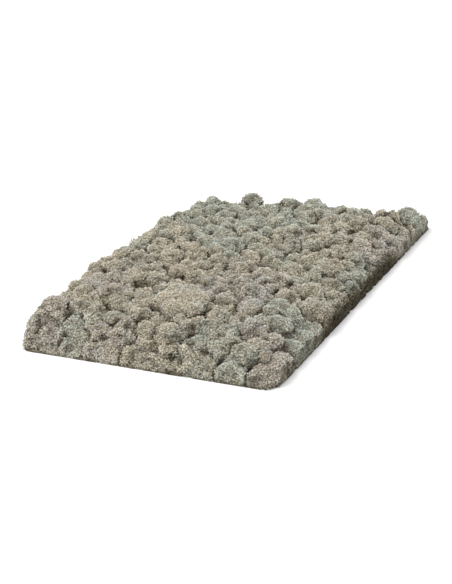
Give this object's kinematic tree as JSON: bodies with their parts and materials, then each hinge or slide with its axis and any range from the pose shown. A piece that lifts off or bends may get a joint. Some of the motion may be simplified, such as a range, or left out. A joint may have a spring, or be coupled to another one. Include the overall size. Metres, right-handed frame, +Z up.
{
  "type": "reindeer moss clump",
  "caption": "Slab of reindeer lichen: rounded, finely branched grey-beige cushions packed side by side, two edges cut straight, two torn, on a flat underside.",
  "frame": {"origin": "middle of the bounding box on the flat underside, at the surface that the mat rests on", "axes": "+Z up out of the mat, +X along the straight front edge to the right, +Y from the front edge to the back"},
  "size_m": [0.4784, 0.597, 0.0657],
  "materials": {
    "lichen_beige": "matt, finely branched dry lichen, warm grey-beige",
    "lichen_grey_green": "matt, finely branched dry lichen, pale grey-green",
    "lichen_pale": "matt, finely branched dry lichen, pale yellowish grey",
    "lichen_mauve_grey": "matt, finely branched dry lichen, brownish to mauve grey"
  },
  "bodies": {
    "root": {"cushion_01": "lichen_beige", "cushion_02": "lichen_pale", "cushion_03": "lichen_grey_green", "cushion_04": "lichen_mauve_grey", "cushion_05": "lichen_grey_green", "cushion_06": "lichen_mauve_grey", "cushion_07": "lichen_mauve_grey", "cushion_08": "lichen_grey_green", "cushion_09": "lichen_pale", "cushion_10": "lichen_mauve_grey", "cushion_11": "lichen_beige", "cushion_12": "lichen_beige", "cushion_13": "lichen_beige", "cushion_14": "lichen_beige", "cushion_15": "lichen_grey_green", "cushion_16": "lichen_beige", "cushion_17": "lichen_grey_green", "cushion_18": "lichen_mauve_grey", "cushion_19": "lichen_mauve_grey", "cushion_20": "lichen_mauve_grey", "cushion_21": "lichen_beige", "cushion_22": "lichen_beige", "cushion_23": "lichen_beige", "cushion_24": "lichen_beige", "cushion_25": "lichen_pale", "cushion_26": "lichen_mauve_grey", "cushion_27": "lichen_beige", "cushion_28": "lichen_beige", "cushion_29": "lichen_mauve_grey", "cushion_30": "lichen_beige", "cushion_31": "lichen_pale", "cushion_32": "lichen_beige", "cushion_33": "lichen_beige", "cushion_34": "lichen_beige", "cushion_35": "lichen_pale", "cushion_36": "lichen_grey_green", "cushion_37": "lichen_pale", "cushion_38": "lichen_grey_green", "cushion_39": "lichen_beige", "cushion_40": "lichen_pale", "cushion_41": "lichen_pale", "cushion_42": "lichen_grey_green", "cushion_43": "lichen_mauve_grey", "cushion_44": "lichen_pale", "cushion_45": "lichen_pale", "cushion_46": "lichen_grey_green", "cushion_47": "lichen_grey_green", "cushion_48": "lichen_grey_green", "cushion_49": "lichen_grey_green", "cushion_50": "lichen_mauve_grey", "cushion_51": "lichen_pale", "cushion_52": "lichen_grey_green", "cushion_53": "lichen_grey_green", "cushion_54": "lichen_grey_green", "cushion_55": "lichen_beige", "cushion_56": "lichen_grey_green", "cushion_57": "lichen_grey_green", "cushion_58": "lichen_grey_green"}
  },
  "joints": []
}
